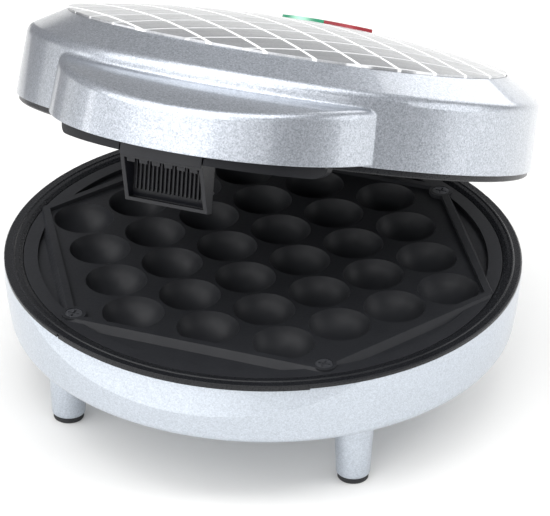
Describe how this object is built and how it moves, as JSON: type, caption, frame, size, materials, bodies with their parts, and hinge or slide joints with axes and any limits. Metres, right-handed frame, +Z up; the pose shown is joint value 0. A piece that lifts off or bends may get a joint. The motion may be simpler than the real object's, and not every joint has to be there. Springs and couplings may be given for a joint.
{
  "type": "bubble waffle maker",
  "caption": "Round bubble waffle maker on four legs with a hinged lid, crescent handle, swinging latch and two cooking plates of hemispherical cavities.",
  "frame": {"origin": "on the ground under the middle of the whole part as stored, with the lid held open; the axis of the round base stands 6.5 mm in front of it, at y = -6.51 mm", "axes": "+Z up; front, with handle and latch, towards -Y; +X to the right of someone facing the front; the lid hinge axis runs along X"},
  "size_m": [0.224, 0.2484, 0.1886],
  "materials": {
    "silver_casing": "silver metallic paint on a smooth moulding",
    "silver_panel": "silver metallic paint, satin",
    "black_ring": "smooth black moulding, semi-gloss",
    "black_moulding": "plain black moulding",
    "nonstick_coating": "cast aluminium under a dark non-stick coating, satin",
    "screw_steel": "blackened steel",
    "pin_steel": "plain steel",
    "heater_sheath": "dull grey-brown sheath",
    "reflector_sheet": "bright rolled sheet",
    "thermostat_case": "pale glazed case",
    "ceramic_block": "white, unglazed",
    "fuse_case": "plain",
    "green_lens": "clear green",
    "red_lens": "clear red",
    "lamp_glass": "clear",
    "rubber_pad": "matt"
  },
  "bodies": {
    "base": {"lower_casing": "silver_casing", "foot_pads": "rubber_pad", "cord_gland": "black_moulding", "terminal_block": "ceramic_block", "lower_ring": "black_ring", "hinge_pins": "pin_steel", "lower_plate": "nonstick_coating", "lower_plate_screws": "screw_steel", "lower_heater": "heater_sheath", "lower_reflector": "reflector_sheet", "lower_reflector_screws": "screw_steel", "lower_thermostat": "thermostat_case"},
    "lid": {"lid_casing": "silver_casing", "top_panel": "silver_panel", "upper_ring": "black_ring", "upper_plate": "nonstick_coating", "upper_plate_screws": "screw_steel", "upper_heater": "heater_sheath", "upper_reflector": "reflector_sheet", "upper_reflector_screws": "screw_steel", "upper_thermostat": "thermostat_case", "thermal_fuse": "fuse_case", "ready_lens": "green_lens", "power_lens": "red_lens", "lamp_holder": "black_moulding", "lamps": "lamp_glass", "handle_liner": "black_moulding", "latch_pin": "pin_steel", "latch_spring": "pin_steel"},
    "latch": {"latch": "black_moulding"}
  },
  "joints": [
    {"name": "lid_hinge", "type": "hinge", "parent": "base", "child": "lid", "pos_m": [0, 0.11699, 0.0622], "axis": [-1, 0, 0], "range_deg": [-23.7, 71]},
    {"name": "latch_pivot", "type": "hinge", "parent": "lid", "child": "latch", "pos_m": [-0.003, -0.11235, 0.16396], "axis": [-1, 0, 0], "range_deg": [0, 20], "stiffness_Nm_per_rad": 0.05, "springref_deg": -17.19}
  ]
}
